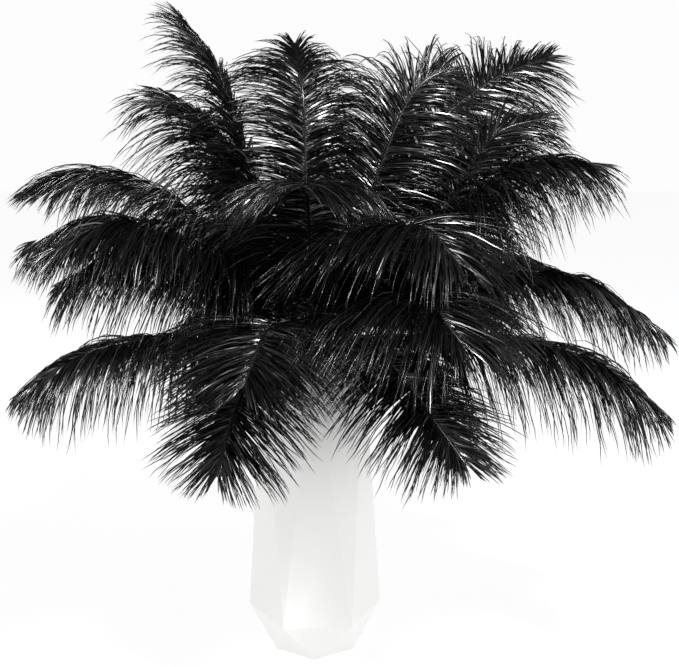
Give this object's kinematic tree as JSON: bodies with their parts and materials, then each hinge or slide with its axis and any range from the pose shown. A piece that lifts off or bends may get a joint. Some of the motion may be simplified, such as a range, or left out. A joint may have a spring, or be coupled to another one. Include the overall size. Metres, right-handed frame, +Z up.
{
  "type": "ostrich feather bouquet in a vase",
  "caption": "Bunch of long black ostrich feathers arching out of a tall white faceted ceramic vase on a flat foot.",
  "frame": {"origin": "centre of the vase's flat foot, on the surface it stands on", "axes": "+Z up along the vase's axis; the front of the bunch faces -Y"},
  "size_m": [0.4826, 0.3794, 0.4956],
  "materials": {
    "white_glaze": "satin white glaze",
    "black_plume": "soft black-dyed barbs with a faint sheen"
  },
  "bodies": {
    "root": {"vase": "white_glaze", "feather_front_left": "black_plume", "feather_front_right_low": "black_plume", "feather_front_left_upper": "black_plume", "feather_front_right": "black_plume", "feather_front_right_upper": "black_plume", "feather_front_top": "black_plume", "feather_left_low": "black_plume", "feather_left_middle": "black_plume", "feather_left_under": "black_plume", "feather_left_back": "black_plume", "feather_left_high": "black_plume", "feather_right_low": "black_plume", "feather_right_middle": "black_plume", "feather_right_high": "black_plume", "feather_right_back": "black_plume", "feather_right_curled": "black_plume", "feather_upper_right": "black_plume", "feather_top_right": "black_plume", "feather_top_center": "black_plume", "feather_top_left": "black_plume", "feather_upper_left": "black_plume", "feather_back_left": "black_plume", "feather_back_right": "black_plume", "feather_back_middle": "black_plume", "feather_back_left_low": "black_plume", "feather_back_right_low": "black_plume"}
  },
  "joints": []
}
